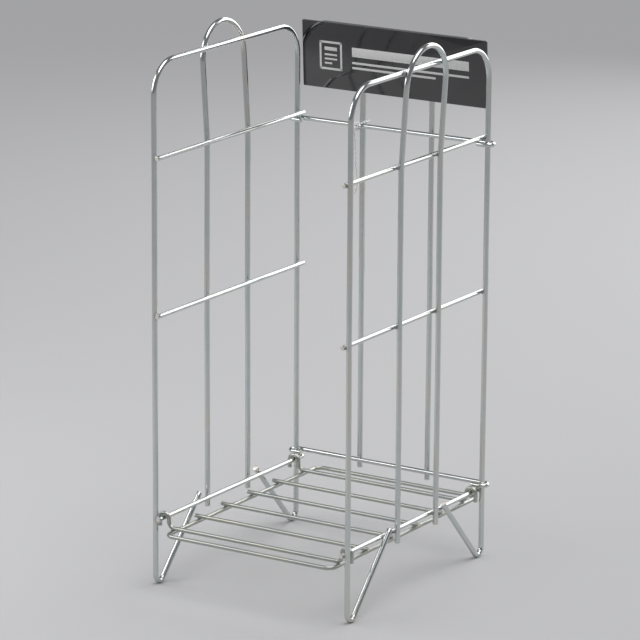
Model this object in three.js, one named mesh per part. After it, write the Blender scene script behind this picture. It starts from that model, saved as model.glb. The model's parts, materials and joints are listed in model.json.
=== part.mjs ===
// Wire newspaper rack: two side panels hinged on a back panel, with a shelf hooked between them.
// Millimetres, +Z up. The open front faces -Y and the sign stands at the rear, over the back panel.

import * as THREE from 'three';

// Wire stock, as diameters, and the clearance kept where two wires touch.
const FRAME_WIRE = 7.5;
const RAIL_WIRE = 6.4;
const DECK_WIRE = 5.6;
const TIE_WIRE = 1.6;
const TOUCH_GAP = 0.3;

// Side panels: PANEL_SPACING is between their planes, PANEL_DEPTH between their uprights.
const PANEL_SPACING = 302;
const PANEL_DEPTH = 350;
const FRAME_TOP = 712;
const FRAME_CORNER_R = 44;
const FOOT_BEND_R = 10;
const FOOT_RISE = THREE.MathUtils.degToRad(47);
const FOOT_END_Z = 102;
const LOOP_SPACING = 100;
const LOOP_TOP = 741;
const LOOP_BOTTOM = 78;
const LOOP_KINK_R = 60;
const RAIL_Z = { upper: 586.6, middle: 373.5, bottom: 93.2 };
const RAIL_OVERHANG = 5;

// Back panel: its two cross wires end in hairpins that turn round the rear uprights.
const HINGE_R = 7.5;
const HINGE_TAIL_X = 138.5;
const HINGE_RAIL_Z = { upper: 578.2, lower: 102 };
const BACK_LOOP_SPACING = 110;
const BACK_LOOP_TOP = 705;
const BACK_LOOP_BOTTOM = 89;

// Sign holder and sign plate.
const HOLDER_LEG_X = [-57, 51];
const HOLDER_LEG_BOTTOM = 368;
const HOLDER_LOW_Z = 640;
const HOLDER_LOW_BEND_R = 12;
const HOLDER_WIDTH = 260;
const HOLDER_TOP_Z = 715;
const HOLDER_TOP_Y = 184;
const HOLDER_CORNER_R = 20;
const PLATE = { width: 291, height: 92.5, thickness: 3, y: 180.3, z: 671 };
const PLATE_LEAN = THREE.MathUtils.degToRad(2.85);
const FOAM_STRIP = { width: 230, height: 9, thickness: 0.8, z: 41 };
const FOAM_PAD = { width: 12, height: 16, thickness: 2, z: -31 };

// Shelf: a closed ring, four cross wires and two cross wires that end in hooks.
const RING_HALF_WIDTH = 130.5;
const RING_FRONT_Y = -182;
const RING_REAR_Y = 199;
const RING_CORNER_R = 12;
const DECK_Z = 80;
const HOOK_Y = { front: -164.5, rear: 158 };
const HOOK_R = 7.25;
const HOOK_RISE_R = 9;
const HOOK_TIP_Z = 81;
const CROSS_WIRE_COUNT = 4;
const CROSS_WIRE_LENGTH = 275;

// Facets.
const BEND_STEP = THREE.MathUtils.degToRad(12);
const FRAME_SIDES = 12;
const DECK_SIDES = 10;
const TIE_SIDES = 8;

// Places worked out from the sizes above.
const PANEL_X = PANEL_SPACING / 2;
const UPRIGHT_Y = PANEL_DEPTH / 2;
const RAIL_X = PANEL_X - touching(FRAME_WIRE, RAIL_WIRE);
const HINGE_RAIL_Y = UPRIGHT_Y + HINGE_R;
const BACK_LOOP_Y = HINGE_RAIL_Y + touching(RAIL_WIRE, FRAME_WIRE);
const HOLDER_LEG_Y = BACK_LOOP_Y + touching(FRAME_WIRE, DECK_WIRE);
const RING_Z = DECK_Z - touching(DECK_WIRE, DECK_WIRE);
const HOOK_TOP_Z = RAIL_Z.bottom + touching(RAIL_WIRE, DECK_WIRE);

const PLATING = { color: 0xb9bec0, roughness: 0.28, metalness: 1 };
const zincPlated = new THREE.MeshStandardMaterial(PLATING);
const tieWireSteel = new THREE.MeshStandardMaterial({ ...PLATING, roughness: 0.4 });
const glossBlackPlastic = new THREE.MeshStandardMaterial({ color: 0x1c1d1f, roughness: 0.12, metalness: 0 });
const whiteFoam = new THREE.MeshStandardMaterial({ color: 0xe8e6df, roughness: 0.9, metalness: 0 });

// Distance between the centre lines of two wires that lie against each other.
function touching(diameterA, diameterB) {
  return (diameterA + diameterB) / 2 + TOUCH_GAP;
}

function at(x, y, z, bendRadius = 0) {
  return { point: new THREE.Vector3(x, y, z), bendRadius };
}

// The centre line of a bent wire: straight runs joined by round bends at its corners. Its
// stations are the ends of the straight runs and evenly turned points inside each bend.
class BentWire extends THREE.Curve {
  constructor(corners, closed = false) {
    super();
    this.closed = closed;
    this.stations = [];
    const count = corners.length;
    corners.forEach((corner, i) => {
      const isEnd = !closed && (i === 0 || i === count - 1);
      if (isEnd) {
        this.addEnd(corner, corners[i === 0 ? 1 : count - 2], i === 0);
      } else {
        this.addBend(corners[(i + count - 1) % count], corner, corners[(i + 1) % count]);
      }
    });
  }

  addEnd(corner, neighbour, isStart) {
    const tangent = neighbour.point.clone().sub(corner.point).normalize();
    if (!isStart) tangent.negate();
    this.stations.push({ point: corner.point.clone(), tangent });
  }

  addBend(before, corner, after) {
    const arriving = corner.point.clone().sub(before.point).normalize();
    const leaving = after.point.clone().sub(corner.point).normalize();
    const turn = arriving.angleTo(leaving);
    const inward = leaving.clone().addScaledVector(arriving, -Math.cos(turn)).normalize();
    const radius = corner.bendRadius;
    const start = corner.point.clone().addScaledVector(arriving, -radius * Math.tan(turn / 2));
    const steps = Math.ceil(turn / BEND_STEP);
    for (let i = 0; i <= steps; i++) {
      const angle = (turn * i) / steps;
      const point = start.clone().addScaledVector(arriving, radius * Math.sin(angle));
      point.addScaledVector(inward, radius * (1 - Math.cos(angle)));
      const tangent = arriving.clone().multiplyScalar(Math.cos(angle));
      tangent.addScaledVector(inward, Math.sin(angle));
      this.stations.push({ point, tangent });
    }
  }

  get spans() {
    return this.closed ? this.stations.length : this.stations.length - 1;
  }

  station(t) {
    return this.stations[Math.round(t * this.spans) % this.stations.length];
  }

  getUtoTmapping(u) {
    return u;
  }

  getPoint(t, target = new THREE.Vector3()) {
    return target.copy(this.station(t).point);
  }

  getTangent(t, target = new THREE.Vector3()) {
    return target.copy(this.station(t).tangent);
  }
}

function roundSection(diameter, sides) {
  const section = new THREE.Shape();
  for (let i = 0; i < sides; i++) {
    const angle = (2 * Math.PI * (i + 0.5)) / sides;
    const x = (diameter / 2) * Math.cos(angle);
    const y = (diameter / 2) * Math.sin(angle);
    if (i === 0) section.moveTo(x, y);
    else section.lineTo(x, y);
  }
  section.closePath();
  return section;
}

function named(name, geometry, material) {
  const mesh = new THREE.Mesh(geometry, material);
  mesh.name = name;
  return mesh;
}

function openWire(name, diameter, sides, corners, material = zincPlated) {
  const path = new BentWire(corners);
  const options = { steps: path.spans, extrudePath: path, bevelEnabled: false };
  return named(name, new THREE.ExtrudeGeometry(roundSection(diameter, sides), options), material);
}

function closedWire(name, diameter, sides, corners) {
  const path = new BentWire(corners, true);
  return named(name, new THREE.TubeGeometry(path, path.spans, diameter / 2, sides, true), zincPlated);
}

// Side panels. "side" is -1 for the left panel and +1 for the right one.

// One wire from the end of the front foot, round the panel, to the end of the rear foot.
function sideFrameWire(name, side) {
  const x = side * PANEL_X;
  const footTurn = Math.PI / 2 + FOOT_RISE;
  const footCornerZ = FRAME_WIRE / 2 + FOOT_BEND_R * (1 - Math.tan(footTurn / 2));
  const footEndY = UPRIGHT_Y - (FOOT_END_Z - footCornerZ) / Math.tan(FOOT_RISE);
  return openWire(name, FRAME_WIRE, FRAME_SIDES, [
    at(x, -footEndY, FOOT_END_Z),
    at(x, -UPRIGHT_Y, footCornerZ, FOOT_BEND_R),
    at(x, -UPRIGHT_Y, FRAME_TOP, FRAME_CORNER_R),
    at(x, UPRIGHT_Y, FRAME_TOP, FRAME_CORNER_R),
    at(x, UPRIGHT_Y, footCornerZ, FOOT_BEND_R),
    at(x, footEndY, FOOT_END_Z),
  ]);
}

// An upside-down U. Above the upper rail its legs lean out, to pass outside the frame's top.
function sideLoopWire(name, side) {
  const x = side * PANEL_X;
  const lean = touching(FRAME_WIRE, FRAME_WIRE) / (FRAME_TOP - RAIL_Z.upper);
  const topX = x + side * lean * (LOOP_TOP - RAIL_Z.upper);
  const y = LOOP_SPACING / 2;
  return openWire(name, FRAME_WIRE, FRAME_SIDES, [
    at(x, -y, LOOP_BOTTOM),
    at(x, -y, RAIL_Z.upper, LOOP_KINK_R),
    at(topX, -y, LOOP_TOP, y),
    at(topX, y, LOOP_TOP, y),
    at(x, y, RAIL_Z.upper, LOOP_KINK_R),
    at(x, y, LOOP_BOTTOM),
  ]);
}

function sideRail(name, side, z) {
  const y = UPRIGHT_Y + RAIL_OVERHANG;
  return openWire(name, RAIL_WIRE, FRAME_SIDES, [at(side * RAIL_X, -y, z), at(side * RAIL_X, y, z)]);
}

function sidePanel(label, side) {
  const panel = new THREE.Group();
  panel.add(sideFrameWire(`${label}_frame_wire`, side));
  panel.add(sideLoopWire(`${label}_loop_wire`, side));
  for (const [level, z] of Object.entries(RAIL_Z)) {
    panel.add(sideRail(`${label}_${level}_rail`, side, z));
  }
  return panel;
}

// Back panel.

// A cross wire whose ends pass behind the rear uprights and return in front of them.
function hingeRail(name, z) {
  const loopX = PANEL_X + HINGE_R;
  const tailY = UPRIGHT_Y - HINGE_R;
  return openWire(name, RAIL_WIRE, FRAME_SIDES, [
    at(-HINGE_TAIL_X, tailY, z),
    at(-loopX, tailY, z, HINGE_R),
    at(-loopX, HINGE_RAIL_Y, z, HINGE_R),
    at(loopX, HINGE_RAIL_Y, z, HINGE_R),
    at(loopX, tailY, z, HINGE_R),
    at(HINGE_TAIL_X, tailY, z),
  ]);
}

function backLoopWire() {
  const x = BACK_LOOP_SPACING / 2;
  return openWire('back_loop_wire', FRAME_WIRE, FRAME_SIDES, [
    at(-x, BACK_LOOP_Y, BACK_LOOP_BOTTOM),
    at(-x, BACK_LOOP_Y, BACK_LOOP_TOP, x),
    at(x, BACK_LOOP_Y, BACK_LOOP_TOP, x),
    at(x, BACK_LOOP_Y, BACK_LOOP_BOTTOM),
  ]);
}

// Two legs behind the back loop's legs, widening above them into the frame that carries the sign.
function signHolderWire() {
  const [leftX, rightX] = HOLDER_LEG_X;
  const x = HOLDER_WIDTH / 2;
  return openWire('sign_holder_wire', DECK_WIRE, DECK_SIDES, [
    at(leftX, HOLDER_LEG_Y, HOLDER_LEG_BOTTOM),
    at(leftX, HOLDER_LEG_Y, HOLDER_LOW_Z, HOLDER_LOW_BEND_R),
    at(-x, HOLDER_LEG_Y, HOLDER_LOW_Z, HOLDER_CORNER_R),
    at(-x, HOLDER_TOP_Y, HOLDER_TOP_Z, HOLDER_CORNER_R),
    at(x, HOLDER_TOP_Y, HOLDER_TOP_Z, HOLDER_CORNER_R),
    at(x, HOLDER_LEG_Y, HOLDER_LOW_Z, HOLDER_CORNER_R),
    at(rightX, HOLDER_LEG_Y, HOLDER_LOW_Z, HOLDER_LOW_BEND_R),
    at(rightX, HOLDER_LEG_Y, HOLDER_LEG_BOTTOM),
  ]);
}

function foam(name, size, x) {
  const block = new THREE.BoxGeometry(size.width, size.thickness, size.height);
  const pad = named(name, block, whiteFoam);
  pad.position.set(x, (PLATE.thickness + size.thickness) / 2 + TOUCH_GAP, size.z);
  return pad;
}

// The plate and the foam that fixes it to the holder and to the back loop, leaning forward.
function sign() {
  const group = new THREE.Group();
  const plateShape = new THREE.BoxGeometry(PLATE.width, PLATE.thickness, PLATE.height);
  group.add(named('sign_plate', plateShape, glossBlackPlastic));
  group.add(foam('sign_foam_strip', FOAM_STRIP, 0));
  group.add(foam('sign_foam_pad_left', FOAM_PAD, -BACK_LOOP_SPACING / 2));
  group.add(foam('sign_foam_pad_right', FOAM_PAD, BACK_LOOP_SPACING / 2));
  group.rotation.x = PLATE_LEAN;
  group.position.set(0, PLATE.y, PLATE.z);
  return group;
}

// A thin wire wrapped once, aslant, round the upper hinge rail and the left pair of legs. One
// end stands up as a stub; the other hangs down the front in loose waves.
function tieWire() {
  const z = HINGE_RAIL_Z.upper;
  const legX = -BACK_LOOP_SPACING / 2;
  const front = HINGE_RAIL_Y - touching(RAIL_WIRE, TIE_WIRE);
  const rear = HOLDER_LEG_Y + touching(DECK_WIRE, TIE_WIRE);
  const right = legX + touching(FRAME_WIRE, TIE_WIRE);
  const left = legX - 7;
  const corners = [
    at(legX - 4, front - 2, z - 94),
    at(legX + 0.5, front - 3, z - 86, 3),
    at(legX - 0.5, front - 2, z - 70, 12),
    at(legX - 2, front - 3.5, z - 48, 16),
    at(legX - 2.5, front - 2.5, z - 27, 16),
    at(legX - 4.5, front - 3.2, z - 2, 2.5),
    at(right, front, z + 6, 2.5),
    at(right, rear, z + 6, 1.6),
    at(left, rear, z - 5.7, 1.6),
    at(left, front - 4.2, z - 5.7, 1.6),
    at(left + 3, front - 5, z + 6),
  ];
  return openWire('tie_wire', TIE_WIRE, TIE_SIDES, corners, tieWireSteel);
}

function backPanel() {
  const panel = new THREE.Group();
  for (const [level, z] of Object.entries(HINGE_RAIL_Z)) {
    panel.add(hingeRail(`back_${level}_hinge_rail`, z));
  }
  panel.add(backLoopWire(), signHolderWire(), sign(), tieWire());
  return panel;
}

// Shelf.

function shelfRing() {
  const x = RING_HALF_WIDTH;
  return closedWire('shelf_ring', DECK_WIRE, DECK_SIDES, [
    at(-x, RING_FRONT_Y, RING_Z, RING_CORNER_R),
    at(x, RING_FRONT_Y, RING_Z, RING_CORNER_R),
    at(x, RING_REAR_Y, RING_Z, RING_CORNER_R),
    at(-x, RING_REAR_Y, RING_Z, RING_CORNER_R),
  ]);
}

// A cross wire whose ends rise, pass over the side panels' bottom rails and point down outside.
function hookWire(name, y) {
  const inner = RAIL_X - HOOK_R;
  const outer = RAIL_X + HOOK_R;
  return openWire(name, DECK_WIRE, DECK_SIDES, [
    at(-outer, y, HOOK_TIP_Z),
    at(-outer, y, HOOK_TOP_Z, HOOK_R),
    at(-inner, y, HOOK_TOP_Z, HOOK_R),
    at(-inner, y, DECK_Z, HOOK_RISE_R),
    at(inner, y, DECK_Z, HOOK_RISE_R),
    at(inner, y, HOOK_TOP_Z, HOOK_R),
    at(outer, y, HOOK_TOP_Z, HOOK_R),
    at(outer, y, HOOK_TIP_Z),
  ]);
}

function crossWire(index) {
  const pitch = (HOOK_Y.rear - HOOK_Y.front) / (CROSS_WIRE_COUNT + 1);
  const y = HOOK_Y.front + index * pitch;
  const x = CROSS_WIRE_LENGTH / 2;
  const ends = [at(-x, y, DECK_Z), at(x, y, DECK_Z)];
  return openWire(`shelf_cross_wire_${index}`, DECK_WIRE, DECK_SIDES, ends);
}

function shelf() {
  const group = new THREE.Group();
  group.add(shelfRing());
  for (const [place, y] of Object.entries(HOOK_Y)) {
    group.add(hookWire(`shelf_${place}_hook_wire`, y));
  }
  for (let i = 1; i <= CROSS_WIRE_COUNT; i++) {
    group.add(crossWire(i));
  }
  return group;
}

const rack = new THREE.Group();
rack.add(sidePanel('left', -1), sidePanel('right', 1), backPanel(), shelf());

// The origin is the middle of the rack's footprint, on the floor.
rack.updateMatrixWorld(true);
const bounds = new THREE.Box3().setFromObject(rack, true);
const middle = bounds.getCenter(new THREE.Vector3());
rack.position.set(-middle.x, -middle.y, -bounds.min.z);

export default rack;
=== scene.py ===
"""Looks of the wire newspaper rack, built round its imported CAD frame.

Each wire is swept again with a round section, sheared ends and a line that wanders a little, the
welded crossings get their nuggets, and the sign, its foam and the tie wire get their detail.
Lengths are in metres, in the row frame. MM turns millimetres into metres.
"""

import json
import math

import bpy
from mathutils import Matrix, Vector, noise

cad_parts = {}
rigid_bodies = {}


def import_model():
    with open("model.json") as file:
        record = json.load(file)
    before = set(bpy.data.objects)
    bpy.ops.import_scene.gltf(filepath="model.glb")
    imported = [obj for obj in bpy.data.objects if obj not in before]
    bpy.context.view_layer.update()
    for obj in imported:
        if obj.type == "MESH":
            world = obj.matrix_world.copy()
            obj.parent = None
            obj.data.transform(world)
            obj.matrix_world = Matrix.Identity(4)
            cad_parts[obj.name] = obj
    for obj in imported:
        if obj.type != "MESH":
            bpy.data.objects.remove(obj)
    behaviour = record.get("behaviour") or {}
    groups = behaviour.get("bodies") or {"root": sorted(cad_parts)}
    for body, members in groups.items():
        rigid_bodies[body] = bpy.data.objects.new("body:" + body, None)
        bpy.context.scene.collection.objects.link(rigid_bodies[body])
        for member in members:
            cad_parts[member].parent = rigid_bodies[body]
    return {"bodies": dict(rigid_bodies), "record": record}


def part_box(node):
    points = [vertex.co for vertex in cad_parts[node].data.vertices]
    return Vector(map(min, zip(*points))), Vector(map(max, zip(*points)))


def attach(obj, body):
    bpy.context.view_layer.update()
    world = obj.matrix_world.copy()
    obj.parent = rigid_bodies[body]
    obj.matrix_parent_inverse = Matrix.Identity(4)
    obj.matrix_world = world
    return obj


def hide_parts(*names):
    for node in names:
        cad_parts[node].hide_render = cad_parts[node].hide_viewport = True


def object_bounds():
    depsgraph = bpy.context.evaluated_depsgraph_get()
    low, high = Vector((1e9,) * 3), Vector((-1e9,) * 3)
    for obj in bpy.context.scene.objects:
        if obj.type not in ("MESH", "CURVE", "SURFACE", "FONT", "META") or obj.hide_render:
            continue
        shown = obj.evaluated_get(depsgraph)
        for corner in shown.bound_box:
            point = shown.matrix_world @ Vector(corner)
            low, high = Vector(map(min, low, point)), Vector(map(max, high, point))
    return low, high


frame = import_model()
cad_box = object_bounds()
RACK_MIDDLE = (cad_box[0] + cad_box[1]) / 2

MM = 0.001
X, Y, Z = Vector((1, 0, 0)), Vector((0, 1, 0)), Vector((0, 0, 1))

# Radii, bends and offsets that the boxes of the CAD nodes don't show.
FRAME_RADIUS = 3.75 * MM
RAIL_RADIUS = 3.2 * MM
DECK_RADIUS = 2.8 * MM
FRAME_CORNER = 44 * MM
FOOT_BEND = 10 * MM
FOOT_RISE = math.radians(47)
FOOT_END_ABOVE_RAIL = 8.8 * MM
LOOP_KINK = 60 * MM
HINGE_BEND = 7.5 * MM
HINGE_TAIL = 12.5 * MM
HOLDER_LEGS = (-57 * MM, 51 * MM)
HOLDER_WELDS = (14 * MM, 120 * MM, 232 * MM)
HOLDER_LOW_ABOVE_RAIL = 61.8 * MM
HOLDER_LOW_BEND = 12 * MM
HOLDER_CORNER = 20 * MM
RING_CORNER = 12 * MM
CROSS_WIRES = 4
HOOK_BEND = 7.25 * MM
HOOK_RISE_BEND = 9 * MM
HOOK_TIP_ABOVE_DECK = 1 * MM
PLATE_LEAN = math.radians(2.85)
PLATE_THICKNESS = 3 * MM
TOUCH_GAP = 0.3 * MM

# How finely wires are swept. Stations closer together than SAME_PLACE count as one.
BEND_STEP = math.radians(6)
RUN_STEP = 6 * MM
SAME_PLACE = 0.001 * MM
WIRE_SIDES = 20

# Bent wire is never quite straight: one smooth field moves every point of it a little.
WANDER = 0.5 * MM
WANDER_PER_METRE = 5.0
WANDER_SEED = 7

# How far the greyed plating reaches round a weld.
WELD_REACH = 9 * MM


# Centre lines. A corner is (point, bend radius).


def at(x, y, z, bend=0.0):
    return Vector((x, y, z)), bend


def bend_points(before, corner, after, bend):
    """Points round the bend at a corner, from the end of one straight run to the start of the next."""
    arriving = (corner - before).normalized()
    leaving = (after - corner).normalized()
    turn = arriving.angle(leaving)
    inward = (leaving - arriving * math.cos(turn)).normalized()
    start = corner - arriving * (bend * math.tan(turn / 2))
    steps = math.ceil(turn / BEND_STEP)
    points = []
    for i in range(steps + 1):
        angle = turn * i / steps
        points.append(start + arriving * (bend * math.sin(angle)) + inward * (bend * (1 - math.cos(angle))))
    return points


def filled(stations, step):
    """The stations with points added between them, about one step apart."""
    points = [stations[0]]
    for end in stations[1:]:
        start = points[-1]
        if (end - start).length < SAME_PLACE:
            continue
        steps = max(1, round((end - start).length / step))
        points += [start.lerp(end, i / steps) for i in range(1, steps + 1)]
    return points


def centre_line(corners, closed=False):
    """The points of a bent wire's centre line, close enough together to carry its wander."""
    count = len(corners)
    turning = []
    for i, (point, bend) in enumerate(corners):
        if not closed and i in (0, count - 1):
            turning.append(point)
        else:
            turning += bend_points(corners[i - 1][0], point, corners[(i + 1) % count][0], bend)
    if closed:
        turning.append(turning[0])
    return filled(turning, RUN_STEP)


# Without a seed, the vector noise differs from run to run.
noise.seed_set(WANDER_SEED)


def wandered(points):
    return [p + WANDER * noise.noise_vector(p * WANDER_PER_METRE) for p in points]


# Meshes.


def new_object(name, vertices, faces):
    mesh = bpy.data.meshes.new(name)
    mesh.from_pydata(vertices, [], faces)
    mesh.update()
    made = bpy.data.objects.new(name, mesh)
    bpy.context.scene.collection.objects.link(made)
    return made


def directions(points, closed):
    count = len(points)
    found = []
    for i in range(count):
        before = points[i - 1] if i or closed else points[0]
        after = points[(i + 1) % count] if i < count - 1 or closed else points[-1]
        found.append((after - before).normalized())
    return found


def frames_along(points, closed):
    """(point, side, up) for each point: axes across the wire that turn as little as they can."""
    ways = directions(points, closed)
    side = ways[0].orthogonal().normalized()
    found = []
    for point, way in zip(points, ways):
        side = (side - way * side.dot(way)).normalized()
        found.append((point, side, way.cross(side)))
    return found, ways


# A sheared wire end, from the cut face inwards: (distance from the end, share of the radius).
CUT_EDGE = ((0.0, 0.80), (0.07 * MM, 0.91), (0.22 * MM, 0.975), (0.5 * MM, 1.0))
CUT_HOLLOW = 0.06 * MM
CUT_UV_SIZE = 0.5 * MM
SMOOTH_WIRE, SMOOTH_FOAM, SMOOTH_SLAB, SMOOTH_WELD = 50, 45, 35, 60


def with_cut_ends(points):
    """The points with rings added for the two cut ends, and each ring's share of the radius."""
    start_way = (points[1] - points[0]).normalized()
    end_way = (points[-2] - points[-1]).normalized()
    start = [points[0] + start_way * d for d, _ in CUT_EDGE]
    end = [points[-1] + end_way * d for d, _ in reversed(CUT_EDGE)]
    shares = [share for _, share in CUT_EDGE]
    inner = points[1:-1]
    return start + inner + end, shares + [1.0] * len(inner) + shares[::-1]


def sweep(name, points, radius, closed=False, sides=WIRE_SIDES):
    """A round wire along the points, with a UV map in metres: round the wire, then along it."""
    if closed:
        points, shares = points[:-1], [1.0] * (len(points) - 1)
    else:
        points, shares = with_cut_ends(points)
    frames, ways = frames_along(points, closed)
    vertices = []
    for (point, side, up), share in zip(frames, shares):
        for k in range(sides):
            angle = 2 * math.pi * k / sides
            vertices.append(point + (side * math.cos(angle) + up * math.sin(angle)) * radius * share)
    rings = len(points)
    faces, uvs = [], []
    along = 0.0
    around = 2 * math.pi * radius / sides
    shift = seam_shift(frames, sides) if closed else 0
    for i in range(rings if closed else rings - 1):
        j = (i + 1) % rings
        step = (points[j] - points[i]).length
        turn = shift if j < i else 0
        for k in range(sides):
            m = (k + 1) % sides
            ahead = (j * sides + (m + turn) % sides, j * sides + (k + turn) % sides)
            faces.append((i * sides + k, i * sides + m, *ahead))
            uvs += [(k * around, along), ((k + 1) * around, along)]
            uvs += [((k + 1) * around, along + step), (k * around, along + step)]
        along += step
    if not closed:
        for ring, flip in ((0, True), (rings - 1, False)):
            centre = len(vertices)
            inset = CUT_HOLLOW * (1 if flip else -1)
            vertices.append(points[ring] + ways[ring] * inset)
            for k in range(sides):
                m = (k + 1) % sides
                edge = (ring * sides + k, ring * sides + m)
                faces.append((centre, *(reversed(edge) if flip else edge)))
                uvs += [(0.0, along), (CUT_UV_SIZE, along), (0.0, along + CUT_UV_SIZE)]
    made = new_object(name, vertices, faces)
    layer = made.data.uv_layers.new(name="wire")
    layer.data.foreach_set("uv", [value for uv in uvs for value in uv])
    cut = made.data.attributes.new("cut", "FLOAT", "POINT")
    end_rings = () if closed else (0, rings - 1)
    shown = [float(i // sides in end_rings or i >= rings * sides) for i in range(len(vertices))]
    cut.data.foreach_set("value", shown)
    shade(made, SMOOTH_WIRE)
    return made


def band_faces(bands, count):
    """The faces of bands between rings that each have this many vertices."""
    faces = []
    for i in range(bands):
        for k in range(count):
            m = (k + 1) % count
            faces.append((i * count + k, i * count + m, (i + 1) * count + m, (i + 1) * count + k))
    return faces


def seam_shift(frames, sides):
    """How many steps round the section the last ring of a closed wire is turned from the first."""
    first, last = frames[0], frames[-1]
    angle = math.atan2(last[1].dot(first[2]), last[1].dot(first[1]))
    return round(angle / (2 * math.pi) * sides) % sides


def shade(obj, degrees):
    """Smooth shading, with edges sharper than this many degrees kept sharp."""
    for polygon in obj.data.polygons:
        polygon.use_smooth = True
    obj.data.set_sharp_from_angle(angle=math.radians(degrees))


def join(name, objects):
    """One object from several, as separate solids."""
    first = objects[0]
    chosen = {"selected_objects": objects, "selected_editable_objects": objects}
    with bpy.context.temp_override(active_object=first, object=first, **chosen):
        bpy.ops.object.join()
    first.name = name
    first.data.name = name
    return first


# Where the CAD put each wire.


def middle(node):
    low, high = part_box(node)
    return (low + high) / 2


def line_box(node, radius):
    """The box of a wire's centre line, apart from cut ends, which reach the node's own box."""
    low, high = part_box(node)
    inset = Vector((radius, radius, radius))
    return low + inset, high - inset


def side_frame_route(label):
    node = f"{label}_frame_wire"
    x = middle(node).x
    low, high = line_box(node, FRAME_RADIUS)
    corner_z = low.z + FOOT_BEND * (1 - math.tan((math.pi / 2 + FOOT_RISE) / 2))
    end_z = middle(f"{label}_bottom_rail").z + FOOT_END_ABOVE_RAIL
    reach = (end_z - corner_z) / math.tan(FOOT_RISE)
    return [
        at(x, low.y + reach, end_z),
        at(x, low.y, corner_z, FOOT_BEND),
        at(x, low.y, high.z, FRAME_CORNER),
        at(x, high.y, high.z, FRAME_CORNER),
        at(x, high.y, corner_z, FOOT_BEND),
        at(x, high.y - reach, end_z),
    ]


def side_loop_route(label):
    node = f"{label}_loop_wire"
    low, high = line_box(node, FRAME_RADIUS)
    foot_x, top_x = (low.x, high.x) if middle(node).x > 0 else (high.x, low.x)
    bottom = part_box(node)[0].z
    kink_z = middle(f"{label}_upper_rail").z
    bow = (high.y - low.y) / 2
    return [
        at(foot_x, low.y, bottom),
        at(foot_x, low.y, kink_z, LOOP_KINK),
        at(top_x, low.y, high.z, bow),
        at(top_x, high.y, high.z, bow),
        at(foot_x, high.y, kink_z, LOOP_KINK),
        at(foot_x, high.y, bottom),
    ]


def straight_route(node, axis):
    """A straight wire along axis 0, 1 or 2."""
    centre = middle(node)
    ends = []
    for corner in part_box(node):
        point = centre.copy()
        point[axis] = corner[axis]
        ends.append((point, 0.0))
    return ends


def hinge_rail_route(node):
    low, high = line_box(node, RAIL_RADIUS)
    z = middle(node).z
    tail_x = middle("right_frame_wire").x - HINGE_TAIL
    return [
        at(-tail_x, low.y, z),
        at(low.x, low.y, z, HINGE_BEND),
        at(low.x, high.y, z, HINGE_BEND),
        at(high.x, high.y, z, HINGE_BEND),
        at(high.x, low.y, z, HINGE_BEND),
        at(tail_x, low.y, z),
    ]


def back_loop_route():
    low, high = line_box("back_loop_wire", FRAME_RADIUS)
    y = middle("back_loop_wire").y
    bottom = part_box("back_loop_wire")[0].z
    return [
        at(low.x, y, bottom),
        at(low.x, y, high.z, high.x),
        at(high.x, y, high.z, high.x),
        at(high.x, y, bottom),
    ]


def holder_route():
    low, high = line_box("sign_holder_wire", DECK_RADIUS)
    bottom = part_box("sign_holder_wire")[0].z
    left, right = HOLDER_LEGS
    low_z = middle("back_upper_hinge_rail").z + HOLDER_LOW_ABOVE_RAIL
    return [
        at(left, high.y, bottom),
        at(left, high.y, low_z, HOLDER_LOW_BEND),
        at(low.x, high.y, low_z, HOLDER_CORNER),
        at(low.x, low.y, high.z, HOLDER_CORNER),
        at(high.x, low.y, high.z, HOLDER_CORNER),
        at(high.x, high.y, low_z, HOLDER_CORNER),
        at(right, high.y, low_z, HOLDER_LOW_BEND),
        at(right, high.y, bottom),
    ]


def ring_route():
    low, high = line_box("shelf_ring", DECK_RADIUS)
    z = middle("shelf_ring").z
    corners = ((low.x, low.y), (high.x, low.y), (high.x, high.y), (low.x, high.y))
    return [at(x, y, z, RING_CORNER) for x, y in corners]


def hook_route(node):
    low, high = line_box(node, DECK_RADIUS)
    y = middle(node).y
    tip = low.z + HOOK_TIP_ABOVE_DECK
    inner = high.x - 2 * HOOK_BEND
    return [
        at(-high.x, y, tip),
        at(-high.x, y, high.z, HOOK_BEND),
        at(-inner, y, high.z, HOOK_BEND),
        at(-inner, y, low.z, HOOK_RISE_BEND),
        at(inner, y, low.z, HOOK_RISE_BEND),
        at(inner, y, high.z, HOOK_BEND),
        at(high.x, y, high.z, HOOK_BEND),
        at(high.x, y, tip),
    ]


# Shader building.


def material(name):
    """A new material and a function that adds nodes to it."""
    made = bpy.data.materials.new(name)
    made.use_nodes = True
    tree = made.node_tree

    def add(kind, inputs=(), **settings):
        node = tree.nodes.new(kind)
        for key, value in settings.items():
            setattr(node, key, value)
        for key, value in dict(inputs).items():
            if isinstance(value, bpy.types.NodeSocket):
                tree.links.new(value, node.inputs[key])
            else:
                node.inputs[key].default_value = value
        return node

    return made, tree.nodes["Principled BSDF"], add, tree.links.new


def ramp(add, factor, stops):
    """A colour ramp over (position, colour) stops."""
    node = add("ShaderNodeValToRGB", {"Fac": factor})
    elements = node.color_ramp.elements
    while len(elements) < len(stops):
        elements.new(0.5)
    for element, (position, colour) in zip(elements, stops):
        element.position = position
        element.color = (*colour, 1.0) if hasattr(colour, "__len__") else (colour, colour, colour, 1.0)
    return node.outputs["Color"]


def noise_value(add, vector, scale, detail=2.0, roughness=0.5):
    inputs = {"Vector": vector, "Scale": scale, "Detail": detail, "Roughness": roughness}
    return add("ShaderNodeTexNoise", inputs).outputs["Fac"]


def bumped(add, height, strength, distance, under=None):
    """A bump map's normal, laid over another normal when one is given."""
    inputs = {"Height": height, "Strength": strength, "Distance": distance}
    if under is not None:
        inputs["Normal"] = under
    return add("ShaderNodeBump", inputs).outputs["Normal"]


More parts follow.
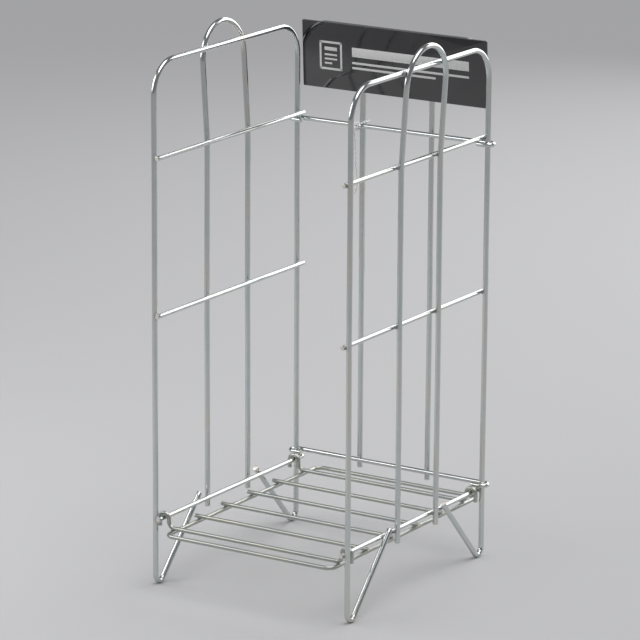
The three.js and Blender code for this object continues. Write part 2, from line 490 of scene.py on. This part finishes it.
def mixed(add, factor, first, second):
    node = add("ShaderNodeMix", data_type="RGBA")
    for socket, value in ((node.inputs[0], factor), (node.inputs[6], first), (node.inputs[7], second)):
        if isinstance(value, bpy.types.NodeSocket):
            node.id_data.links.new(value, socket)
        else:
            socket.default_value = value if isinstance(value, float) else (*value, 1.0)
    return node.outputs[2]


def darker(share, colour):
    return tuple(share * c for c in colour)


def plating_material(name, cool, plain, warm, rough, metallic=1.0):
    """Zinc over drawn wire: drifting tints, draw lines, fine pits, dull welds and bare cut ends."""
    made, shader, add, link = material(name)
    here = add("ShaderNodeTexCoord").outputs["Object"]
    uv = add("ShaderNodeUVMap", uv_map="wire").outputs["UV"]
    lengthwise = add("ShaderNodeMapping", {"Vector": uv, "Scale": (2600.0, 30.0, 1.0)}).outputs["Vector"]
    lines = noise_value(add, lengthwise, 1.0, 4.0, 0.6)
    drift = noise_value(add, here, 14.0, 3.0)
    cloud = noise_value(add, here, 190.0, 4.0, 0.6)
    tint = ramp(add, drift, ((0.32, cool), (0.50, plain), (0.68, warm)))
    tint = mixed(add, ramp(add, cloud, ((0.40, 0.0), (0.80, 0.22))), tint, darker(0.78, plain))
    tint = mixed(add, ramp(add, lines, ((0.30, 0.16), (0.62, 0.0))), tint, darker(0.6, plain))
    weld = add("ShaderNodeAttribute", attribute_name="weld").outputs["Fac"]
    tint = mixed(add, ramp(add, weld, ((0.15, 0.0), (1.0, 0.62))), tint, (0.30, 0.31, 0.30))
    pits = noise_value(add, here, 520.0, 2.0)
    chips = ramp(add, pits, ((0.755, 0.0), (0.775, 0.85)))
    tint = mixed(add, chips, tint, (0.075, 0.068, 0.060))
    cut = add("ShaderNodeAttribute", attribute_name="cut").outputs["Fac"]
    tint = mixed(add, ramp(add, cut, ((0.2, 0.0), (0.9, 0.9))), tint, (0.95, 0.87, 0.78))
    link(tint, shader.inputs["Base Color"])
    shader.inputs["Metallic"].default_value = metallic
    dull = ramp(add, cloud, ((0.30, rough), (0.75, rough + 0.07)))
    dull = mixed(add, ramp(add, cut, ((0.2, 0.0), (0.9, 1.0))), dull, (0.45, 0.45, 0.45))
    dull = mixed(add, ramp(add, weld, ((0.1, 0.0), (1.0, 0.8))), dull, (0.5, 0.5, 0.5))
    dull = mixed(add, chips, dull, (0.8, 0.8, 0.8))
    link(dull, shader.inputs["Roughness"])
    dents = noise_value(add, here, 70.0, 1.0)
    normal = bumped(add, dents, 0.18, 0.3 * MM)
    normal = bumped(add, lines, 0.20, 0.004 * MM, normal)
    grain = noise_value(add, here, 1500.0, 3.0)
    link(bumped(add, grain, 0.30, 0.006 * MM, normal), shader.inputs["Normal"])
    return made


def weld_material():
    """The nuggets: the same plating, duller and darker over a coarse surface."""
    made, shader, add, link = material("weld_plating")
    here = add("ShaderNodeTexCoord").outputs["Object"]
    cloud = noise_value(add, here, 420.0, 4.0, 0.65)
    grey = ramp(add, cloud, ((0.3, (0.24, 0.245, 0.24)), (0.7, (0.55, 0.56, 0.55))))
    link(grey, shader.inputs["Base Color"])
    shader.inputs["Metallic"].default_value = 1.0
    link(ramp(add, cloud, ((0.3, 0.34), (0.7, 0.55))), shader.inputs["Roughness"])
    link(bumped(add, cloud, 0.6, 0.12 * MM), shader.inputs["Normal"])
    return made


def sign_material():
    """Gloss black sheet: slow waves, a little dust and hairline scratches in the gloss."""
    made, shader, add, link = material("gloss_black_sheet")
    here = add("ShaderNodeTexCoord").outputs["Object"]
    dust = noise_value(add, here, 900.0, 2.0)
    specks = ramp(add, dust, ((0.66, 0.0), (0.74, 0.5)))
    haze = noise_value(add, here, 22.0, 4.0, 0.6)
    base = ramp(add, haze, ((0.3, (0.012, 0.012, 0.014)), (0.7, (0.020, 0.020, 0.022))))
    link(mixed(add, specks, base, (0.10, 0.10, 0.10)), shader.inputs["Base Color"])
    slant = {"Vector": here, "Rotation": (0.0, 0.6, 0.0), "Scale": (40.0, 400.0, 2600.0)}
    slanted = add("ShaderNodeMapping", slant).outputs["Vector"]
    scratches = noise_value(add, slanted, 1.0, 2.0)
    gloss = ramp(add, haze, ((0.3, 0.055), (0.75, 0.13)))
    gloss = mixed(add, ramp(add, scratches, ((0.70, 0.0), (0.78, 0.6))), gloss, (0.35, 0.35, 0.35))
    link(gloss, shader.inputs["Roughness"])
    shader.inputs["Specular IOR Level"].default_value = 0.75
    shader.inputs["Coat Weight"].default_value = 0.6
    shader.inputs["Coat Roughness"].default_value = 0.04
    waves = noise_value(add, here, 26.0, 1.0)
    link(bumped(add, waves, 0.08, 0.5 * MM), shader.inputs["Normal"])
    return made


def print_material():
    """White screen print: opaque and satin, with a faint mottle."""
    made, shader, add, link = material("white_print")
    here = add("ShaderNodeTexCoord").outputs["Object"]
    mottle = noise_value(add, here, 650.0, 3.0)
    white = ramp(add, mottle, ((0.3, (0.66, 0.66, 0.65)), (0.7, (0.80, 0.80, 0.79))))
    link(white, shader.inputs["Base Color"])
    link(ramp(add, mottle, ((0.3, 0.30), (0.7, 0.42))), shader.inputs["Roughness"])
    link(bumped(add, mottle, 0.2, 0.02 * MM), shader.inputs["Normal"])
    return made


def foam_material():
    """White closed-cell foam tape, a little yellowed."""
    made, shader, add, link = material("foam")
    here = add("ShaderNodeTexCoord").outputs["Object"]
    cells = add("ShaderNodeTexVoronoi", {"Vector": here, "Scale": 1800.0}).outputs["Distance"]
    age = noise_value(add, here, 60.0, 3.0)
    white = ramp(add, age, ((0.3, (0.70, 0.67, 0.57)), (0.7, (0.80, 0.79, 0.74))))
    pores = ramp(add, cells, ((0.0, 0.0), (0.9, 0.45)))
    link(mixed(add, pores, white, (0.52, 0.50, 0.44)), shader.inputs["Base Color"])
    shader.inputs["Roughness"].default_value = 0.92
    link(bumped(add, cells, 0.7, 0.2 * MM), shader.inputs["Normal"])
    return made


# Pieces.

BODIES = frame["record"]["behaviour"]["bodies"]
BODY_OF = {node: body for body, members in BODIES.items() for node in members}
weld_points = {body: [] for body in frame["bodies"]}
wires = {}


def finished(obj, body, surface, slot, *nodes):
    """Gives a piece its surface, seats it on its body and hides the CAD nodes it stands for. The slot is
    not used.
    """
    obj.data.materials.clear()
    obj.data.materials.append(surface)
    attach(obj, body)
    if nodes:
        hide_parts(*nodes)


def wire(node, route, radius, surface, closed=False):
    points = wandered(centre_line(route, closed))
    wires[node] = sweep(f"{node}_look", points, radius, closed)
    finished(wires[node], BODY_OF[node], surface, "zinc_plating", node)


def weld(body, point, way_a, way_b, size_a, size_b):
    """Notes a weld where two wires touch: its place, the wires' directions and their radii."""
    moved = wandered([Vector(point)])[0]
    weld_points[body].append((moved, Vector(way_a), Vector(way_b), size_a, size_b))


NUGGET_RINGS = 10
NUGGET_SIDES = 16
NUGGET_WIDTH = 0.95
NUGGET_HEIGHT = 0.34
NUGGET_LUMPS = 0.16
LUMPS_PER_METRE = 520


def nugget(name, place, way_a, way_b, radius_a, radius_b):
    """The metal squeezed out where two crossing wires are spot welded: a lumpy flattened bead."""
    normal = way_a.cross(way_b).normalized()
    half_a = NUGGET_WIDTH * radius_b
    half_b = NUGGET_WIDTH * radius_a
    half_n = NUGGET_HEIGHT * (radius_a + radius_b)
    vertices = []
    for i in range(NUGGET_RINGS + 1):
        tilt = math.pi * i / NUGGET_RINGS
        for k in range(NUGGET_SIDES):
            turn = 2 * math.pi * k / NUGGET_SIDES
            along_a = math.sin(tilt) * math.cos(turn) * half_a
            along_b = math.sin(tilt) * math.sin(turn) * half_b
            offset = way_a * along_a + way_b * along_b + normal * math.cos(tilt) * half_n
            lump = 1 + NUGGET_LUMPS * noise.noise((place + offset) * LUMPS_PER_METRE)
            vertices.append(place + offset * lump)
    made = new_object(name, vertices, band_faces(NUGGET_RINGS, NUGGET_SIDES))
    made.data.validate()
    return made


def mark_welds(obj, places):
    """Writes how near each point of a wire is to a weld, for its plating."""
    layer = obj.data.attributes.new("weld", "FLOAT", "POINT")
    values = []
    for vertex in obj.data.vertices:
        nearest = min((vertex.co - place[0]).length for place in places)
        values.append(max(0.0, 1 - nearest / WELD_REACH))
    layer.data.foreach_set("value", values)


def build_side_panel(label, plating):
    body = f"{label}_panel"
    side = -1 if label == "left" else 1
    wire(f"{label}_frame_wire", side_frame_route(label), FRAME_RADIUS, plating)
    wire(f"{label}_loop_wire", side_loop_route(label), FRAME_RADIUS, plating)
    frame_low, frame_high = line_box(f"{label}_frame_wire", FRAME_RADIUS)
    loop_low, loop_high = line_box(f"{label}_loop_wire", FRAME_RADIUS)
    x = middle(f"{label}_frame_wire").x
    inner_x = x - side * FRAME_RADIUS
    for level in ("upper", "middle", "bottom"):
        node = f"{label}_{level}_rail"
        wire(node, straight_route(node, 1), RAIL_RADIUS, plating)
        z = middle(node).z
        for y in (frame_low.y, loop_low.y, loop_high.y, frame_high.y):
            weld(body, (inner_x, y, z), Z, Y, FRAME_RADIUS, RAIL_RADIUS)
    outer_x = x + side * FRAME_RADIUS
    for y in (loop_low.y, loop_high.y):
        weld(body, (outer_x, y, frame_high.z), Z, Y, FRAME_RADIUS, FRAME_RADIUS)
    route = side_frame_route(label)
    drop = FOOT_END_ABOVE_RAIL / math.tan(FOOT_RISE)
    rail_z = middle(f"{label}_bottom_rail").z
    for end, inward in ((route[0][0], -1), (route[-1][0], 1)):
        brace = Vector((0, inward * math.cos(FOOT_RISE), -math.sin(FOOT_RISE)))
        weld(body, (inner_x, end.y + inward * drop, rail_z), brace, Y, FRAME_RADIUS, RAIL_RADIUS)


def build_back_panel(plating):
    wire("back_loop_wire", back_loop_route(), FRAME_RADIUS, plating)
    wire("sign_holder_wire", holder_route(), DECK_RADIUS, plating)
    loop = middle("back_loop_wire")
    legs = line_box("back_loop_wire", FRAME_RADIUS)
    for level in ("upper", "lower"):
        node = f"back_{level}_hinge_rail"
        wire(node, hinge_rail_route(node), RAIL_RADIUS, plating)
        for leg in legs:
            place = (leg.x, loop.y - FRAME_RADIUS, middle(node).z)
            weld("back_panel", place, Z, X, FRAME_RADIUS, RAIL_RADIUS)
    holder_y = line_box("sign_holder_wire", DECK_RADIUS)[1].y
    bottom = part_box("sign_holder_wire")[0].z
    for leg, x in zip(legs, HOLDER_LEGS):
        loop_leg = Vector((leg.x, loop.y, 0))
        towards = (Vector((x, holder_y, 0)) - loop_leg).normalized()
        touch = loop_leg + towards * FRAME_RADIUS
        across = towards.cross(Z)
        for rise in HOLDER_WELDS:
            weld("back_panel", (touch.x, touch.y, bottom + rise), Z, across, FRAME_RADIUS, DECK_RADIUS)


def build_shelf(plating):
    wire("shelf_ring", ring_route(), DECK_RADIUS, plating, closed=True)
    ring_low, ring_high = line_box("shelf_ring", DECK_RADIUS)
    crossing = ["shelf_front_hook_wire", "shelf_rear_hook_wire"]
    for node in crossing:
        wire(node, hook_route(node), DECK_RADIUS, plating)
    for i in range(1, CROSS_WIRES + 1):
        node = f"shelf_cross_wire_{i}"
        wire(node, straight_route(node, 0), DECK_RADIUS, plating)
        crossing.append(node)
    for node in crossing:
        for x in (ring_low.x, ring_high.x):
            place = (x, middle(node).y, ring_low.z + DECK_RADIUS)
            weld("shelf", place, X, Y, DECK_RADIUS, DECK_RADIUS)


def build_welds(surface):
    for body, places in weld_points.items():
        beads = [nugget(f"{body}_bead_{i}", *place) for i, place in enumerate(places)]
        welds = join(f"{body}_welds", beads)
        shade(welds, SMOOTH_WELD)
        finished(welds, body, surface, "zinc_plating")
    for node, obj in wires.items():
        mark_welds(obj, weld_points[BODY_OF[node]])


def leaning_at(node):
    """The matrix from a leaning slab's own axes (x across, -y forward, z up it) to the row frame."""
    return Matrix.Translation(middle(node)) @ Matrix.Rotation(PLATE_LEAN, 4, "X")


CORNER_STEPS = 6


def rounded_slab(name, low, high, corner, edge):
    """A slab standing in the x-z plane with rounded corners, and edges eased by a small bevel."""
    outline = []
    for cx, cz, start in (
        (high[0] - corner, high[2] - corner, 0.0),
        (low[0] + corner, high[2] - corner, 0.5),
        (low[0] + corner, low[2] + corner, 1.0),
        (high[0] - corner, low[2] + corner, 1.5),
    ):
        for i in range(CORNER_STEPS + 1):
            angle = math.pi * (start + 0.5 * i / CORNER_STEPS)
            outline.append((cx, cz, math.cos(angle), math.sin(angle)))
    layers = ((low[1], edge), (low[1] + 0.3 * edge, 0.3 * edge), (low[1] + edge, 0.0))
    layers += tuple((low[1] + high[1] - y, inset) for y, inset in reversed(layers))
    count = len(outline)
    vertices = []
    for y, inset in layers:
        for cx, cz, dx, dz in outline:
            vertices.append(Vector((cx + dx * (corner - inset), y, cz + dz * (corner - inset))))
    faces = band_faces(len(layers) - 1, count)
    faces.append(tuple(reversed(range(count))))
    faces.append(tuple((len(layers) - 1) * count + k for k in range(count)))
    made = new_object(name, vertices, faces)
    shade(made, SMOOTH_SLAB)
    return made


# The white print on the plate, in millimetres from its middle (left, right, bottom, top): a plain
# pictogram of a page with its text lines, then three plain rules.
PRINTED_BARS = (
    (-118, -82, 17, 20),
    (-118, -82, -20, -17),
    (-118, -115, -20, 20),
    (-85, -82, -20, 20),
    (-110, -90, 7, 12),
    (-110, -90, 0, 2.5),
    (-110, -90, -6, -3.5),
    (-110, -98, -12, -9.5),
    (-66, 118, 2, 15),
    (-66, 118, -8, -5),
    (-66, 66, -15, -12),
)
PRINT_THICKNESS = 0.12 * MM
PRINT_GAP = 0.01 * MM
PLATE_CORNER, PLATE_EDGE = 1.2 * MM, 0.35 * MM
PRINT_CORNER, PRINT_EDGE = 0.6 * MM, 0.03 * MM


def build_sign():
    low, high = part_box("sign_plate")
    width = high.x - low.x
    height = (high.z - low.z - PLATE_THICKNESS * math.sin(PLATE_LEAN)) / math.cos(PLATE_LEAN)
    half = Vector((width / 2, PLATE_THICKNESS / 2, height / 2))
    placed = leaning_at("sign_plate")
    plate = rounded_slab("sign_plate_look", -half, half, PLATE_CORNER, PLATE_EDGE)
    plate.data.transform(placed)
    finished(plate, "back_panel", sign_material(), "sign_plastic", "sign_plate")
    bars = []
    for i, (x0, x1, z0, z1) in enumerate(PRINTED_BARS):
        corner_low = Vector((x0 * MM, -half.y - PRINT_THICKNESS, z0 * MM))
        corner_high = Vector((x1 * MM, -half.y - PRINT_GAP, z1 * MM))
        bar = rounded_slab(f"bar_{i}", corner_low, corner_high, PRINT_CORNER, PRINT_EDGE)
        bar.data.transform(placed)
        bars.append(bar)
    finished(join("sign_print", bars), "back_panel", print_material(), "sign_plastic")


def leaning_halves(low, high):
    """Half the height and half the thickness of a slab that leans with the plate, from its box."""
    rise, lean = math.cos(PLATE_LEAN), math.sin(PLATE_LEAN)
    deep, tall = high.y - low.y, high.z - low.z
    shape = rise * rise - lean * lean
    return (tall * rise - deep * lean) / shape / 2, (deep * rise - tall * lean) / shape / 2


# Half the foam's section, as shares of its half height and half thickness.
FOAM_CROWN = ((-1.0, -0.55), (-1.02, 0.0), (-0.97, 0.5), (-0.8, 0.85), (-0.4, 1.2), (0.0, 1.3))
FOAM_COLUMN = 2 * MM
FOAM_FEWEST_COLUMNS = 6
FOAM_FRAY = 0.25 * MM
FOAM_END = 0.03


def build_foam(node, surface):
    """A foam block between the plate and a wire: crowned towards the wire, with frayed edges."""
    low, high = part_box(node)
    half_x = (high.x - low.x) / 2
    half_z, half_gap = leaning_halves(low, high)
    half_gap += TOUCH_GAP
    section = list(FOAM_CROWN) + [(-z, y) for z, y in reversed(FOAM_CROWN[:-1])]
    columns = max(FOAM_FEWEST_COLUMNS, round(half_x / FOAM_COLUMN))
    vertices, faces = [], []
    count = len(section)
    for i in range(columns + 1):
        share = -1 + 2 * i / columns
        pinch = 1 - 0.25 * max(0.0, abs(share) - (1 - FOAM_END)) / FOAM_END
        for z_share, y_share in section:
            frayed = FOAM_FRAY * noise.noise(Vector((share * half_x * 300, z_share * 3, 0.5)))
            z = z_share * (half_z + frayed)
            y = half_gap * (y_share * pinch + (0.0 if y_share > 0 else -0.4))
            vertices.append(Vector((share * half_x, y, z)))
    for i in range(columns):
        for k in range(count):
            m = (k + 1) % count
            faces.append((i * count + k, (i + 1) * count + k, (i + 1) * count + m, i * count + m))
    faces.append(tuple(range(count)))
    faces.append(tuple(columns * count + k for k in reversed(range(count))))
    made = new_object(f"{node}_look", vertices, faces)
    made.data.transform(leaning_at(node))
    shade(made, SMOOTH_FOAM)
    finished(made, "back_panel", surface, "foam_tape", node)


STRAND_RADIUS = 0.7 * MM
STRAND_SIDES = 10
STRAND_STEP = 1.2 * MM
TWIST_PITCH = 14 * MM
PAIR_RADIUS = 1.3 * MM
COIL_TURNS = 2
KNOT_RADIUS = 3.4 * MM
KNOT_TURNS = 4.5
TURN_STEPS = 8


def tie_route():
    """A soft wire: a wavy hanging tail, a curled knot, then turns round the rail and the legs."""
    rail_z = middle("back_upper_hinge_rail").z
    rail_y = line_box("back_upper_hinge_rail", RAIL_RADIUS)[1].y
    leg_x = line_box("back_loop_wire", FRAME_RADIUS)[0].x
    holder_y = line_box("sign_holder_wire", DECK_RADIUS)[1].y
    front = rail_y - RAIL_RADIUS - PAIR_RADIUS
    rear = holder_y + DECK_RADIUS + PAIR_RADIUS
    right = leg_x + FRAME_RADIUS + PAIR_RADIUS
    left = leg_x - 7 * MM
    corners = [
        at(leg_x - 4 * MM, front - 2 * MM, rail_z - 94 * MM),
        at(leg_x + 0.5 * MM, front - 3 * MM, rail_z - 86 * MM, 3 * MM),
        at(leg_x - 0.5 * MM, front - 2 * MM, rail_z - 70 * MM, 12 * MM),
        at(leg_x - 2 * MM, front - 3.5 * MM, rail_z - 48 * MM, 16 * MM),
        at(leg_x - 2.5 * MM, front - 2.5 * MM, rail_z - 27 * MM, 16 * MM),
        at(leg_x - 4 * MM, front - 4 * MM, rail_z - 8 * MM, 4 * MM),
    ]
    steps = round(KNOT_TURNS * TURN_STEPS)
    for i in range(steps + 1):
        angle = 2 * math.pi * i / TURN_STEPS
        swell = KNOT_RADIUS * (1 + 0.3 * math.sin(2.3 * angle))
        x = leg_x + (-1 + 2 * i / steps) * MM + swell * math.cos(angle)
        z = rail_z + (-5 + 9 * i / steps) * MM + 1.4 * MM * math.sin(1.7 * angle)
        corners.append(at(x, front - 3.5 * MM + 0.7 * swell * math.sin(angle), z, 0.3 * MM))
    coil = RAIL_RADIUS + PAIR_RADIUS
    for i in range(TURN_STEPS * COIL_TURNS + 1):
        angle = 2 * math.pi * i / TURN_STEPS
        x = leg_x - (6.0 + 0.35 * i / COIL_TURNS) * MM
        y, z = rail_y - coil * math.cos(angle), rail_z + coil * math.sin(angle)
        corners.append(at(x, y, z, 0.8 * MM))
    corners += [
        at(leg_x - 2 * MM, front - 1.5 * MM, rail_z + 1 * MM, 2.2 * MM),
        at(right, front, rail_z + 4.6 * MM, 2.2 * MM),
        at(right, rear, rail_z + 4.6 * MM, 1.6 * MM),
        at(left, rear, rail_z - 5 * MM, 1.6 * MM),
        at(left, front - 1.0 * MM, rail_z - 5 * MM, 1.6 * MM),
        at(leg_x + 3 * MM, front - 5.5 * MM, rail_z + 6 * MM),
    ]
    return corners


def build_tie(surface):
    """Two strands twisted together along the tie's route."""
    frames, _ = frames_along(filled(centre_line(tie_route()), STRAND_STEP), closed=False)
    strands = []
    for phase in (0.0, math.pi):
        travelled, line = 0.0, []
        for i, (point, side, up) in enumerate(frames):
            travelled += (point - frames[i - 1][0]).length if i else 0.0
            angle = phase + 2 * math.pi * travelled / TWIST_PITCH + 1.2 * noise.noise(point * 60)
            line.append(point + (side * math.cos(angle) + up * math.sin(angle)) * STRAND_RADIUS * 0.96)
        strands.append(sweep(f"tie_strand_{phase:.0f}", line, STRAND_RADIUS, sides=STRAND_SIDES))
    tie = join("tie_wire_look", strands)
    finished(tie, "back_panel", surface, "tie_steel", "tie_wire")
    wires["tie_wire"] = tie


# Set.

CAMERA_PLACE = Vector((2.7904, -4.46765, 1.7311))
CAMERA_FORWARD = Vector((-0.5135, 0.8197, -0.2538)).normalized()
CAMERA_ROLL = math.radians(0.348)
SENSOR_WIDTH = 36.0
FOCAL_LENGTH = 228.64
FAR_CLIP = 100.0

WORLD_COLOUR = (0.20, 0.20, 0.21, 1.0)


def softbox(name, azimuth, elevation, distance, size, power, spread=180):
    """A square soft light aimed at the rack's middle.

    Azimuth 0 is the rack's open front and 90 its right side. Angles are in degrees.
    """
    turn, rise = math.radians(azimuth), math.radians(elevation)
    way = Vector((math.sin(turn) * math.cos(rise), -math.cos(turn) * math.cos(rise), math.sin(rise)))
    data = bpy.data.lights.new(name, "AREA")
    data.shape = "RECTANGLE"
    data.size, data.size_y = size
    data.energy = power
    data.spread = math.radians(spread)
    made = bpy.data.objects.new(name, data)
    made.location = RACK_MIDDLE + way * distance
    made.rotation_euler = (-way).to_track_quat("-Z", "Y").to_euler()
    made.visible_camera = False
    bpy.context.scene.collection.objects.link(made)


def overhead(name, way, spread, strength):
    """An even light from far above, as wide across the sky as its spread in degrees."""
    data = bpy.data.lights.new(name, "SUN")
    data.energy = strength
    data.angle = math.radians(spread)
    made = bpy.data.objects.new(name, data)
    made.rotation_euler = Vector(way).to_track_quat("Z", "Y").to_euler()
    bpy.context.scene.collection.objects.link(made)


FLOOR_COLOUR = (0.50, 0.50, 0.505, 1.0)
FLOOR_HALF = 40.0


def build_floor():
    corners = [(x * FLOOR_HALF, y * FLOOR_HALF, 0) for x, y in ((-1, -1), (1, -1), (1, 1), (-1, 1))]
    floor = new_object("floor", corners, [(0, 1, 2, 3)])
    made, shader, _, _ = material("pale_floor")
    shader.inputs["Base Color"].default_value = FLOOR_COLOUR
    shader.inputs["Roughness"].default_value = 0.85
    shader.inputs["Specular IOR Level"].default_value = 0.15
    floor.data.materials.append(made)


def build_world():
    world = bpy.data.worlds.new("studio")
    world.use_nodes = True
    world.node_tree.nodes["Background"].inputs["Color"].default_value = WORLD_COLOUR
    bpy.context.scene.world = world


def build_camera():
    right = CAMERA_FORWARD.cross(Z).normalized()
    up = right.cross(CAMERA_FORWARD)
    cosine, sine = math.cos(CAMERA_ROLL), math.sin(CAMERA_ROLL)
    right, up = right * cosine + up * sine, up * cosine - right * sine
    data = bpy.data.cameras.new("camera")
    data.sensor_width = SENSOR_WIDTH
    data.lens = FOCAL_LENGTH
    data.clip_end = FAR_CLIP
    camera = bpy.data.objects.new("camera", data)
    turn = Matrix((right, up, -CAMERA_FORWARD)).transposed()
    camera.matrix_world = Matrix.Translation(CAMERA_PLACE) @ turn.to_4x4()
    bpy.context.scene.collection.objects.link(camera)
    bpy.context.scene.camera = camera


# Each plating's cool, plain and warm tints.
BRIGHT_TINTS = ((0.61, 0.66, 0.665), (0.67, 0.695, 0.685), (0.69, 0.69, 0.64))
SHELF_TINTS = ((0.44, 0.47, 0.455), (0.50, 0.515, 0.48), (0.52, 0.52, 0.46))
SOFT_TINTS = ((0.93, 0.94, 0.95), (0.96, 0.96, 0.96), (0.95, 0.94, 0.92))

plating = plating_material("bright_zinc", *BRIGHT_TINTS, rough=0.11)
shelf_plating = plating_material("shelf_zinc", *SHELF_TINTS, rough=0.34)
tie_surface = plating_material("soft_zinc", *SOFT_TINTS, rough=0.34, metallic=0.5)

build_side_panel("left", plating)
build_side_panel("right", plating)
build_back_panel(plating)
build_shelf(shelf_plating)
build_sign()
foam_surface = foam_material()
for foam_node in ("sign_foam_strip", "sign_foam_pad_left", "sign_foam_pad_right"):
    build_foam(foam_node, foam_surface)
build_tie(tie_surface)
build_welds(weld_material())

build_floor()
build_world()
build_camera()
softbox("rear_light", azimuth=172, elevation=20, distance=3.2, size=(3.6, 2.3), power=32, spread=125)
softbox("left_light", azimuth=-62, elevation=26, distance=1.6, size=(0.7, 0.8), power=7)
softbox("front_light", azimuth=-36, elevation=34, distance=2.2, size=(0.8, 1.2), power=7)
overhead("overhead_light", way=(0.26, 0.0, 0.97), spread=50, strength=1.72)
bpy.context.scene.view_settings.view_transform = "Standard"
